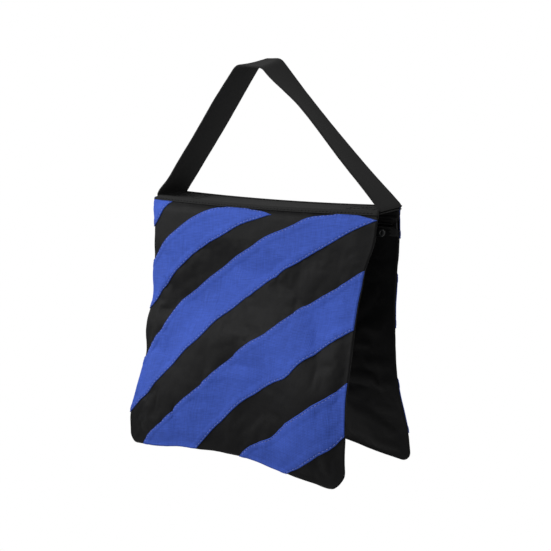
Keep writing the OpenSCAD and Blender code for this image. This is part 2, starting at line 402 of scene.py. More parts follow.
def thicken(piece, thickness, offset=-1.0):
    """Gives a sheet its thickness, inwards from its outer face."""
    solid = piece.modifiers.new("thickness", "SOLIDIFY")
    solid.thickness = thickness
    solid.offset = offset


def round_edges(piece, width, angle=30):
    """Rounds a piece's edges that are sharper than the angle."""
    rounded = piece.modifiers.new("rounded", "BEVEL")
    rounded.width, rounded.segments, rounded.limit_method = width, 2, "ANGLE"
    rounded.angle_limit = math.radians(angle)


def walked_along(points):
    """The distance walked to each point of a path."""
    steps = np.linalg.norm(np.diff(points, axis=0), axis=1)
    return np.concatenate([[0], np.cumsum(steps)])


def spread(points, walked, wanted):
    """Points of a path at wanted distances along it."""
    return np.stack([np.interp(wanted, walked, axis) for axis in np.array(points).T], 1)


def ease(value):
    """A smooth step from 0 to 1."""
    value = np.clip(value, 0, 1)
    return value * value * (3 - 2 * value)


def through(knots, x):
    """A smooth curve through points (x, y): each piece is a cubic between its neighbours."""
    xs, ys = (np.array(k, float) for k in zip(*knots))
    slopes = np.gradient(ys, xs)
    slopes[0] = slopes[-1] = 0
    x = np.clip(x, xs[0], xs[-1])
    i = np.clip(np.searchsorted(xs, x) - 1, 0, len(xs) - 2)
    step = xs[i + 1] - xs[i]
    t = (x - xs[i]) / step
    return (
        ys[i] * (1 + 2 * t) * (1 - t) ** 2
        + slopes[i] * step * t * (1 - t) ** 2
        + ys[i + 1] * t * t * (3 - 2 * t)
        + slopes[i + 1] * step * t * t * (t - 1)
    )


def rumple(u, v, size, seed):
    """Smooth noise from about -0.5 to 0.5 over the cloth, with bumps of about that size."""
    return np.array([noise.noise((a / size, b / size, seed)) for a, b in zip(u, v)])


# ---- The shape of the pouches ----

# Offsets in millimetres at distances in millimetres down a pouch or across it. The cloth is
# drawn in or let out along its edges, and hangs in front of or behind its flat place.
DRAPE = {
    "front": {
        "left": [
            (0, -3.5), (10, -2), (20, 0.5), (50, 2.5), (70, 2.8), (95, 5), (112, 3.2),
            (130, 3.2), (145, 5.5), (165, 4.5), (184, 3), (203, 0.5), (230, -0.5),
        ],
        "right": [(0, 0), (60, 0), (120, -2), (170, -2), (200, 0), (230, 2)],
        "right_seam": [
            (0, 0), (28, 0), (48, -5), (62, -6.2), (80, -6), (100, -3.2), (120, -0.8), (142, 1),
            (165, 3), (190, 3.2), (205, 2.6), (220, 1.4), (230, -1.5),
        ],
        "left_out": [
            (0, 0), (28, 0), (55, -1), (70, -2), (95, -5), (120, -2), (145, -4), (165, -3),
            (184, 0), (203, 3), (230, 4),
        ],
        "right_out": [(0, 0), (28, 0), (60, 1), (120, 5), (170, 6), (200, 4), (230, 2)],
        "hem": [
            (-120, -1), (-100, 0.4), (-88, 1), (-70, 3.4), (-56, 6), (-42, 7), (-30, 7.8),
            (-20, 8.9), (0, 9.4), (18, 9.3), (30, 8.1), (44, 6), (56, 4.6), (69, 3.1), (90, 1),
            (108, 0.3), (120, 5),
        ],
        "out": [(0, 0), (28, 0), (70, -2), (130, 2), (175, 4), (205, 2), (230, -3)],
        "roll": [(-120, -2), (-90, 0), (-40, 2), (30, 1), (90, 1), (120, 0)],
    },
    "back": {
        "left": [
            (0, 2.5), (6, 3.8), (15, 4.5), (25, 4.6), (61, 6), (106, 5.2), (143, 4), (170, 1.8),
            (197, 0), (230, 0),
        ],
        "right": [(0, 0), (28, 0), (60, 0), (120, -3), (170, -5), (230, -2)],
        "right_seam": [(0, 0), (230, 0)],
        "left_out": [(0, 0), (28, 0), (60, -1), (120, -4), (150, -4), (190, -2), (230, -3)],
        "right_out": [(0, 0), (230, 0)],
        "hem": [
            (-120, -5.5), (-100, -4), (-80, -1), (-55, 4), (-20, 6), (20, 6), (70, 3), (120, 0),
        ],
        "out": [(0, 0), (28, 0), (60, -3), (115, -8), (155, -9), (190, -5), (230, 2)],
        "roll": [(-120, 1), (-60, -1), (0, -3), (60, 0), (120, 2)],
    },
}
SAG = 2.5 * MM  # how far the ridge's middle hangs below its ends


def sag(x):
    """Drop of the ridge at a distance from its middle."""
    return -SAG * (1 - np.clip(np.abs(x) / (120 * MM), 0, 1) ** 2)


class Pouch:
    """One pouch: its place, its outline and its cloth surface.

    u runs across the pouch to the right as seen from outside, v down it from its fold line."""

    COLUMNS, ROWS = 60, 58
    FLAT_TOP = 28 * MM  # the zip's stretch stays flat, so that its slider runs straight

    def __init__(self, side):
        cloth = bpy.context.scene.sandbag_cloth
        joint = JOINTS[side + "_fold"]
        low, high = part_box(side + "_outer_panel")
        hinge = Vector(joint["pos_m"])
        self.side = side
        self.body = side + "_pouch"
        self.flare = math.radians(90 - joint["range_deg"][1])
        turn = Matrix.Rotation(math.pi if side == "back" else 0, 4, "Z")
        self.matrix = Matrix.Translation(hinge) @ turn @ Matrix.Rotation(-self.flare, 4, "X")
        self.half_top = (high.x - low.x) / 2
        self.length = (hinge.z - low.z) / math.cos(self.flare)
        self.taper, self.corner = cloth.taper, cloth.corner
        self.half_edge, self.half_body = cloth.edge / 2, cloth.body / 2
        self.middle = -2 * MM  # the cloth's middle layer lies this far outside the fold line
        self.fold_start = hinge
        self.fold_end = self.matrix @ Vector((0, 0, -9 * MM))
        self.wrap = self.half_edge * math.pi / 2
        self.grid = self.settle()

    def half(self, v):
        """Half the pouch's width at a distance below the fold line."""
        return self.half_top - self.taper * v / self.length

    def start_shape(self, s, t):
        """The middle layer before it settles, from shares across (-1 to 1) and down (0 to 1)."""
        drape = DRAPE[self.side]
        v = t * self.length
        u = s * self.half(v)
        down = v / MM
        across = u / MM
        near = {"left": (1 - s) / 2, "right": (1 + s) / 2}
        side_shift = sum(through(drape[edge], down) * share for edge, share in near.items())
        side_shift = side_shift + through(drape["right_seam"], down) * near["right"] ** 6
        hang = ease((down - 40) / (self.length / MM - 40))
        lift = through(drape["hem"], across) * hang**1.5
        out = through(drape["out"], down) + through(drape["roll"], across) * hang
        out = out + sum(
            through(drape[edge + "_out"], down) * share**1.5 for edge, share in near.items()
        )
        flat = ease((v - 12 * MM) / (16 * MM))
        out = out + 3.5 * flat * rumple(u, v, 55 * MM, 3.1 if self.side == "front" else 8.7) * ease(
            (down - 28) / 40
        )
        outward = self.middle * ease(v / (12 * MM)) - out * MM
        drop = sag(u) * (1 - ease((v - 1 * MM) / (9 * MM)))
        return np.stack([u + side_shift * MM, outward, -v + lift * MM + drop], 1)

    def settle(self):
        """Lets the cloth buckle a little between its seams, and returns it as a grid."""
        columns, rows = self.COLUMNS, self.ROWS
        bm = bmesh.new()
        bmesh.ops.create_grid(bm, x_segments=columns, y_segments=rows, size=1.0)
        share = np.array([vert.co[:2] for vert in bm.verts])
        s, t = share[:, 0], share[:, 1] / 2 + 0.5
        start = self.start_shape(s, t)
        settled = self.simulate(bm, s, t, start)
        bm.free()
        order = np.lexsort((s, t))
        return settled[order].reshape(rows + 1, columns + 1, 3)

    def simulate(self, bm, s, t, start):
        """Cloth simulation: the cloth is a little fuller than its edges, so it buckles."""
        u, v = s * self.half_top, t * self.length
        crumpled = start.copy()
        crumpled[:, 1] += 0.8 * MM * rumple(u / 2.2, v, 15 * MM, 5.3) * ease(
            (v - self.FLAT_TOP) / (30 * MM)
        )
        for vert, position in zip(bm.verts, crumpled):
            vert.co = position
        mesh = bpy.data.meshes.new("settling")
        bm.to_mesh(mesh)
        trial = add_object("settling", mesh)
        from_edge = np.minimum.reduce([self.half_top - abs(u), self.length - v])
        hold = np.maximum(1 - ease(from_edge / (9 * MM)), 1 - ease((v - self.FLAT_TOP) / (6 * MM)))
        held, seams = (trial.vertex_groups.new(name=n) for n in ("held", "seams"))
        tight = 1 - ease(np.minimum(from_edge / (30 * MM), (v - self.FLAT_TOP) / (70 * MM)))
        for i, (pin, near) in enumerate(zip(hold, tight)):
            held.add([i], float(pin), "REPLACE")
            seams.add([i], float(near), "REPLACE")
        cloth = trial.modifiers.new("cloth", "CLOTH")
        cloth.settings.quality = 7
        cloth.settings.mass = 0.02
        cloth.settings.tension_stiffness = cloth.settings.compression_stiffness = 25
        cloth.settings.shear_stiffness = 12
        cloth.settings.bending_stiffness = 0.6
        cloth.settings.vertex_group_mass = "held"
        cloth.settings.pin_stiffness = 20
        cloth.settings.vertex_group_shrink = "seams"
        cloth.settings.shrink_min, cloth.settings.shrink_max = -0.011, 0.0
        cloth.settings.effector_weights.gravity = 0
        for step in range(1, 26):
            bpy.context.scene.frame_set(step)
        graph = bpy.context.evaluated_depsgraph_get()
        settled = np.array([vert.co for vert in trial.evaluated_get(graph).data.vertices])
        bpy.context.scene.frame_set(1)
        bpy.data.objects.remove(trial)
        moved = settled - start
        reach = np.linalg.norm(moved, axis=1)
        cap = 2.6 * MM
        moved *= (cap * np.tanh(reach / cap) / np.maximum(reach, 1e-9))[:, None]
        return start + moved

    def sample(self, u, v):
        """Point of the settled middle layer and its two tangents, in the pouch's own frame."""
        rows, columns = self.grid.shape[:2]

        def at(u, v):
            x = np.clip((u / self.half(v) + 1) / 2, 0, 1) * (columns - 1)
            y = np.clip(v / self.length, 0, 1) * (rows - 1)
            i, j = (np.clip(np.floor(k).astype(int), 0, n - 2) for k, n in ((x, columns), (y, rows)))
            total = 0
            for a, row_weight in enumerate(smooth_weights(y - j)):
                for b, weight in enumerate(smooth_weights(x - i)):
                    row = np.clip(j + a - 1, 0, rows - 1)
                    column = np.clip(i + b - 1, 0, columns - 1)
                    total = total + (row_weight * weight)[:, None] * self.grid[row, column]
            return total

        step = 1.0 * MM
        edge = self.half(v) - step
        u_in, v_in = np.clip(u, -edge, edge), np.clip(v, step, self.length - step)
        across = at(u_in + step, v_in) - at(u_in - step, v_in)
        down = at(u_in, v_in + step) - at(u_in, v_in - step)
        return at(u, v), unit(across), unit(down)

    def nearest(self, u, v):
        """The nearest place inside the line where the cloth starts to turn round the edge, the
        distance to it, and that step's direction."""
        v_in = np.minimum(v, self.length - self.half_edge)
        limit = self.half(v_in) - self.half_edge
        u_in = np.clip(u, -limit, limit)
        radius = self.corner - self.half_edge
        centre_u = limit - radius
        centre_v = self.length - self.half_edge - radius
        du, dv = np.abs(u) - centre_u, v - centre_v
        far = np.hypot(du, dv)
        at_corner = (du > 0) & (dv > 0) & (far > radius)
        scale = radius / np.maximum(far, 1e-9)
        u_in = np.where(at_corner, np.sign(u) * (centre_u + du * scale), u_in)
        v_in = np.where(at_corner, centre_v + dv * scale, v_in)
        du, dv = u - u_in, v - v_in
        beyond = np.hypot(du, dv)
        direction = np.stack([du, dv], 1) / np.maximum(beyond, 1e-9)[:, None]
        return u_in, v_in, beyond, direction

    def half_thickness(self, u, v):
        """Half the thickness: thin at the seams and under the binding, full between."""
        from_side = self.half(v) - self.half_edge - np.abs(u)
        from_hem = self.length - self.half_edge - v
        inside = ease(np.minimum(from_side, from_hem) / (16 * MM))
        full = self.half_edge + (self.half_body - self.half_edge) * inside
        at_fold = 1.0 * MM
        return at_fold + (full - at_fold) * ease(v / (14 * MM))

    def points(self, u, v, lift=0.0, inner=False):
        """Points of the pouch's outer or inner face, raised by lift, in the shared frame. Cloth
        coordinates past the edge turn round it."""
        u_in, v_in, beyond, direction = self.nearest(u, v)
        middle, across, down = self.sample(u_in, v_in)
        outward = unit(np.cross(down, across))
        half = self.half_thickness(u_in, v_in)
        wave = rumple(u_in, v_in, 38 * MM, 21.7 if inner else 14.2) * 1.2 * MM
        calm = ease((v_in - self.FLAT_TOP) / (14 * MM)) * (1 - ease(beyond / (0.1 * MM)))
        calm *= ease((self.half(v_in) - np.abs(u_in)) / (25 * MM))
        half = half + wave * calm
        edge = unit(across * direction[:, :1] + down * direction[:, 1:])
        angle = np.minimum(beyond / np.maximum(half, 1e-9), math.pi)[:, None]
        facing = -outward if inner else outward
        arm = (half + lift)[:, None]
        return self.in_place(middle + arm * (np.cos(angle) * facing + np.sin(angle) * edge))

    def in_place(self, points):
        """Takes points from the pouch's own frame to the shared frame."""
        matrix = np.array(self.matrix)
        return points @ matrix[:3, :3].T + matrix[:3, 3]

    def bends(self, piece):
        """Bakes a piece's placement into its mesh."""
        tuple(self.fold_start)
        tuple(self.fold_end)
        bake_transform(piece)

    def keep_cloth(self, bm, name, node, material, slot, thickness, inner=False):
        """Finishes a cloth piece that stands for a CAD node: turns it outwards, thickens it and hides
        the node.
        """
        face_outwards(bm, self, inner)
        piece = finish_mesh(bm, name, material, slot)
        thicken(piece, thickness)
        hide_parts(node)
        self.bends(piece)
        return piece


def unit(vectors):
    """Rows of an array, each brought to length 1."""
    return vectors / np.maximum(np.linalg.norm(vectors, axis=1), 1e-12)[:, None]


def smooth_weights(t):
    """Weights of four neighbours for a cubic curve through the middle two."""
    return (
        -0.5 * t + t**2 - 0.5 * t**3,
        1 - 2.5 * t**2 + 1.5 * t**3,
        0.5 * t + 2 * t**2 - 1.5 * t**3,
        -0.5 * t**2 + 0.5 * t**3,
    )


def panel_grid(bag, x, y, top, turn):
    """Cloth coordinates of a panel from top down that turns round the side and bottom edges
    by so much. x and y run from 0 to 1; their last shares take in the turned edges."""
    radius = bag.corner + turn
    bottom = bag.length + turn
    straight = bottom - radius
    bend, turned = 0.16, 0.06
    angle = np.clip((y - (1 - bend)) / bend, 0, 1) * math.pi / 2
    v = np.where(
        y < 1 - bend,
        top + y / (1 - bend) * (straight - top),
        straight + radius * np.sin(angle),
    )
    half = bag.half(np.minimum(v, bag.length)) + turn - radius * (1 - np.cos(angle))
    s = 2 * x - 1
    edge = (bag.wrap + 1.5 * MM) / half
    s = np.where(
        np.abs(s) < 1 - turned,
        s / (1 - turned) * (1 - edge),
        np.sign(s) * (1 - edge + edge * (np.abs(s) - 1 + turned) / turned),
    )
    return s * half, v


POUCHES = {}


def pouch(side):
    """The pouch of one side, settled once."""
    if side not in POUCHES:
        POUCHES[side] = Pouch(side)
    return POUCHES[side]


# ---- Stripes ----

# The stripes' edges as circles on the cloth, in millimetres: across, down and radius. A stripe
# lies between its upper and its lower edge; the first fills the corner above its lower edge.
STRIPE_EDGES = [
    (None, (-32, 78, 100)),
    ((-20, 114, 111), (67, 221, 218)),
    ((151, 305, 310), (402, 579, 638)),
    ((558, 776, 850), (589, 806, 850)),
    ((608, 837, 850), (606, 883, 850)),
]
# Places where a stripe was sewn on unevenly, by its edge's circle: how far across the pouch and
# how far the edge bulges there, in millimetres
EDGE_BULGES = {
    (-20, 114, 111): ((-114, 1.8), (-64, -0.8), (-22, 2)),
    (67, 221, 218): ((-66, 0.9), (-38, -1.1)),
    (151, 305, 310): ((-102, -2), (-77, 4), (-8, -1.2), (56, 1.4)),
    (402, 579, 638): ((-112, 2.5), (-45, -2.6), (-12, 1.6), (38, 1.1)),
    (558, 776, 850): ((-90, 6), (-44, -1), (26, -1.8), (58, 1.8)),
    (589, 806, 850): ((10, 1.8), (56, -3.8), (96, 0.8)),
    (608, 837, 850): ((18, 3), (43, -2)),
}
BULGE_WIDTH = 12
# Distances from a stripe's edge, in millimetres, where its turned hem and its seam need a row
HEM_ROWS = [0, 0.2, 0.5, 0.9, 1.25, 1.6, 1.95, 2.4, 3.2, 4.6, 6.4, 7.4, 9]
SEAM_IN = 1.6
STRIPE_TOP = 0.5 * MM
STRIPE_TURN = 0.5  # share of the panel's turn round its edges that a stripe follows


def edge_run(bag, circle, count, inside=None, outside=None):
    """Evenly spaced places along a stripe's edge, from lower left to upper right, as far as
    they are inside or outside the other edge's circle."""
    reach = bag.wrap * STRIPE_TURN
    if circle is None:
        return np.full((count, 2), (-bag.half_top - reach + bag.half_edge, STRIPE_TOP))
    angles = np.radians(np.arange(180, 60, -0.04))
    radius = circle[2] + 0.5 * np.sin(angles * circle[2] / 9) * np.sin(angles * circle[2] / 23)
    across = circle[0] + circle[2] * np.cos(angles)
    for place, bulge in EDGE_BULGES.get(circle, ()):
        radius = radius + bulge * np.exp(-(((across - place) / BULGE_WIDTH) ** 2))
    u = (circle[0] + radius * np.cos(angles)) * MM
    v = (circle[1] - radius * np.sin(angles)) * MM
    keep = (bag.nearest(u, v)[2] <= reach) & (v > STRIPE_TOP)
    for other, sign in ((inside, 1), (outside, -1)):
        if other:
            far = np.hypot(u / MM - other[0], v / MM - other[1])
            keep &= far * sign <= other[2] * sign
    run = np.stack([u, v], 1)[keep]
    walked = walked_along(run)
    return spread(run, walked, np.linspace(0, walked[-1], count))


def hem_lift(from_edge, along, stripe_lift):
    """Height of a stripe over its panel: turned hem, seam groove and puckers along it."""
    d = from_edge / MM
    rise = 1 - np.exp(-d / 0.25)
    hem = 0.35 * (1 - ease((d - 6) / 1.6))
    groove = 0.42 * np.exp(-(((d - SEAM_IN) / 0.4) ** 2))
    pucker = 0.2 * np.sin(along / (3.6 * MM) * math.pi + 3 * np.sin(along / (31 * MM)))
    return stripe_lift * rise + (hem * rise - groove + pucker * np.exp(-d / 4) * rise) * MM


def make_stripe(bag, number):
    """One stripe of the striped panel, with its hems turned under."""
    cloth = bpy.context.scene.sandbag_cloth
    upper, lower = STRIPE_EDGES[number - 1]
    count = 40 if number == 1 else 170
    runs = [edge_run(bag, upper, count, outside=lower), edge_run(bag, lower, count, inside=upper)]
    widths = np.linalg.norm(runs[1] - runs[0], axis=1)
    middles = 14
    rows = 2 * len(HEM_ROWS) + middles

    def place(x, y):
        i = np.round(x * (count - 1)).astype(int)
        k = np.round(y * (rows - 1)).astype(int)
        width = widths[i]
        reach = np.minimum(HEM_ROWS[-1] * MM, width * 0.45)
        hems = np.array(HEM_ROWS) / HEM_ROWS[-1]
        near = np.minimum(k, rows - 1 - k)
        part = np.where(
            near < len(hems),
            hems[np.minimum(near, len(hems) - 1)] * reach,
            reach + (width - 2 * reach) * (near - len(hems) + 1) / (middles + 1),
        )
        from_upper = np.where(k <= rows - 1 - k, part, width - part)
        share = from_upper / np.maximum(width, 1e-9)
        flat = runs[0][i] * (1 - share)[:, None] + runs[1][i] * share[:, None]
        along = i * np.linalg.norm(runs[1][1] - runs[1][0])
        from_edge = np.minimum(from_upper, width - from_upper)
        lift = hem_lift(from_edge, along, cloth.stripe) + 0.15 * MM
        return bag.points(flat[:, 0], flat[:, 1], lift), flat

    bm = cloth_grid(count - 1, rows - 1, place)
    bmesh.ops.remove_doubles(bm, verts=bm.verts[:], dist=0.01 * MM)
    name = f"{bag.side}_stripe_{number}"
    piece = bag.keep_cloth(bm, name + "_cloth", name, "stripe", "blue_oxford", cloth.skin)
    wide = widths > 3 * SEAM_IN * MM
    towards = unit(runs[1] - runs[0]) * SEAM_IN * MM
    lines = [(runs[0] + towards)[wide], (runs[1] - towards)[wide]]
    return piece, lines if upper else lines[1:]


def face_outwards(bm, bag, inner=False):
    """Turns a sheet's faces so that they point away from the pouch's middle layer."""
    outward = (bag.matrix.to_3x3() @ Vector((0, -1, 0))) * (-1 if inner else 1)
    bm.normal_update()
    facing = sum(face.normal.dot(outward) * face.calc_area() for face in bm.faces)
    if facing < 0:
        bmesh.ops.reverse_faces(bm, faces=bm.faces[:])


def repeat_shape(bm, axes, centres):
    """Copies a bmesh's one shape to every centre. Each centre has its own three axes, whose
    lengths scale the shape."""
    shape = np.array([vert.co for vert in bm.verts])
    faces = len(bm.faces)
    copies = 1
    while copies < len(centres):
        more = min(copies, len(centres) - copies)
        bm.faces.ensure_lookup_table()
        bmesh.ops.duplicate(bm, geom=bm.faces[: more * faces])
        copies += more
    placed = np.einsum("va,nax->nvx", shape, axes) + centres[:, None]
    for vert, position in zip(bm.verts, placed.reshape(-1, 3)):
        vert.co = position


def make_stitches(name, material, lines, place, lift):
    """Stitches along lines of cloth coordinates, as flattened beads of thread. place() takes
    two coordinates and a lift, and gives points of the cloth."""
    cloth = bpy.context.scene.sandbag_cloth
    starts, ends = [], []
    for line in lines:
        walked = walked_along(line)
        begins = np.arange(0.5 * cloth.pitch, walked[-1] - cloth.stitch, cloth.pitch)
        starts.append(spread(line, walked, begins))
        ends.append(spread(line, walked, begins + cloth.stitch))
    starts, ends = np.concatenate(starts), np.concatenate(ends)
    first, last = place(*starts.T, lift), place(*ends.T, lift)
    above = place(*starts.T, lift + MM) - first
    side = unit(np.cross(last - first, above)) * cloth.thread / 2
    up = unit(np.cross(side, last - first)) * cloth.thread / 3
    bm = bmesh.new()
    bmesh.ops.create_uvsphere(bm, u_segments=6, v_segments=5, radius=1.0)
    bmesh.ops.rotate(bm, verts=bm.verts[:], matrix=Matrix.Rotation(math.pi / 2, 3, "Y"))
    repeat_shape(bm, np.stack([(last - first) / 2, side, up], 1), (first + last) / 2)
    bmesh.ops.recalc_face_normals(bm, faces=bm.faces[:])
    return finish_mesh(bm, name, material, "thread")


class StripedPanel(bpy.types.Operator):
    """Makes the striped outer panels: black cloth, five stripes and their stitching"""

    bl_idname = "sandbag.striped_panels"
    bl_label = "Striped Panels"

    def execute(self, context):
        for side in SIDES:
            bag = pouch(side)
            base = self.make_base(context, bag)
            stripes, lines = [], []
            for number in range(1, 6):
                stripe, seams = make_stripe(bag, number)
                stripes.append(stripe)
                lines += seams
            stitches = self.make_stitches(context, bag, lines)
        return {"FINISHED"}

    def make_base(self, context, bag):
        """The black outer panel, which turns round the pouch's edges to the side seams."""
        cloth = context.scene.sandbag_cloth
        turn = bag.wrap - bag.half_edge + 0.2 * MM

        def place(x, y):
            u, v = panel_grid(bag, x, y, 0.0, turn)
            lift = 0.25 * MM * rumple(u, v, 9 * MM, 2.2)
            return bag.points(u, v, lift), np.stack([u, v], 1)

        bm = cloth_grid(200, 200, place)
        names = (bag.side + "_outer_cloth", bag.side + "_outer_panel")
        return bag.keep_cloth(bm, *names, "nylon", "black_nylon", cloth.skin)

    def make_stitches(self, context, bag, lines):
        """The blue topstitching just inside each stripe's edges."""
        seat = context.scene.sandbag_cloth.stripe + 0.2 * MM
        name = bag.side + "_stripe_stitches"
        piece = make_stitches(name, "blue_thread", lines, bag.points, seat)
        bag.bends(piece)
        return piece


ZIP_SEAM = 1.6 * MM  # from the slit to the stitches on both sides of it


class InnerPanel(bpy.types.Operator):
    """Makes the plain inner panels above and below each zip, with their stitching"""

    bl_idname = "sandbag.inner_panels"
    bl_label = "Inner Panels"

    def execute(self, context):
        for side in SIDES:
            bag = pouch(side)
            low, high = zip_slit(bag)
            upper = self.make_panel(context, bag, "upper", STRIPE_TOP, low, 24)
            lower = self.make_panel(context, bag, "lower", high, bag.length, 150)
            self.make_stitches(bag, low, high)
        return {"FINISHED"}

    def make_panel(self, context, bag, which, top, bottom, rows):
        """An inner panel, with a folded hem and a seam's groove beside the zip."""
        cloth = context.scene.sandbag_cloth
        turn = bag.wrap - bag.half_edge - 0.1 * MM

        def place(x, y):
            if which == "lower":
                u, v = panel_grid(bag, x, y, top, turn)
            else:
                v = top + (bottom - top) * y
                u = (2 * x - 1) * (bag.half(v) + turn)
            near_zip = v - top if which == "lower" else bottom - v
            hem = 0.45 * MM * (1 - ease((near_zip - 4 * MM) / (1.2 * MM)))
            groove = 0.4 * MM * np.exp(-(((near_zip - ZIP_SEAM) / (0.5 * MM)) ** 2))
            rough = 0.25 * MM * rumple(u, v, 10 * MM, 6.4)
            return bag.points(u, v, hem - groove + rough, inner=True), np.stack([u, v], 1)

        bm = cloth_grid(150, rows, place)
        name = f"{bag.side}_inner_panel_{which}"
        return bag.keep_cloth(bm, name + "_cloth", name, "nylon", "black_nylon", cloth.skin, True)

    def make_stitches(self, bag, low, high):
        """A row of stitches on each side of the zip."""
        half = bag.half(bag.length) - 14 * MM
        rows = (low - ZIP_SEAM, high + ZIP_SEAM)
        lines = [np.array([(-half, v), (half, v)]) for v in rows]

        def place(u, v, lift):
            return bag.points(u, v, lift, inner=True)

        name = bag.side + "_zip_seam_stitches"
        piece = make_stitches(name, "black_thread", lines, place, 0.3 * MM)
        bag.bends(piece)
        return piece


def zip_slit(bag):
    """Upper and lower edge of the zip's slit, as distances below the fold line."""
    upper, lower = (local_box(bag, "inner_panel_" + which) for which in ("upper", "lower"))
    return -upper[0].z, -lower[1].z


def local_box(bag, node):
    """Lowest and highest corner of a CAD node in a pouch's own frame."""
    place = bag.matrix.inverted()
    mesh = frame["nodes"][f"{bag.side}_{node}"].data
    points = np.array([place @ vert.co for vert in mesh.vertices])
    return Vector(points.min(0)), Vector(points.max(0))


def edges_at(verts):
    """The edges at some vertices, each once and always in the same order."""
    return list(dict.fromkeys(edge for vert in verts for edge in vert.link_edges))


def add_block(bm, low, high, bevel=0.0, segments=2):
    """Adds a block given by two corners, with rounded edges."""
    low, high = Vector(low), Vector(high)
    place = Matrix.LocRotScale((low + high) / 2, None, high - low)
    made = bmesh.ops.create_cube(bm, size=1.0, matrix=place)
    if bevel:
        bmesh.ops.bevel(
            bm,
            geom=edges_at(made["verts"]),
            offset=bevel,
            offset_type="OFFSET",
            affect="EDGES",
            segments=segments,
            profile=0.5,
            material=-1,
        )


TAPE_SHARE = 0.965  # the tapes end inside the side seams


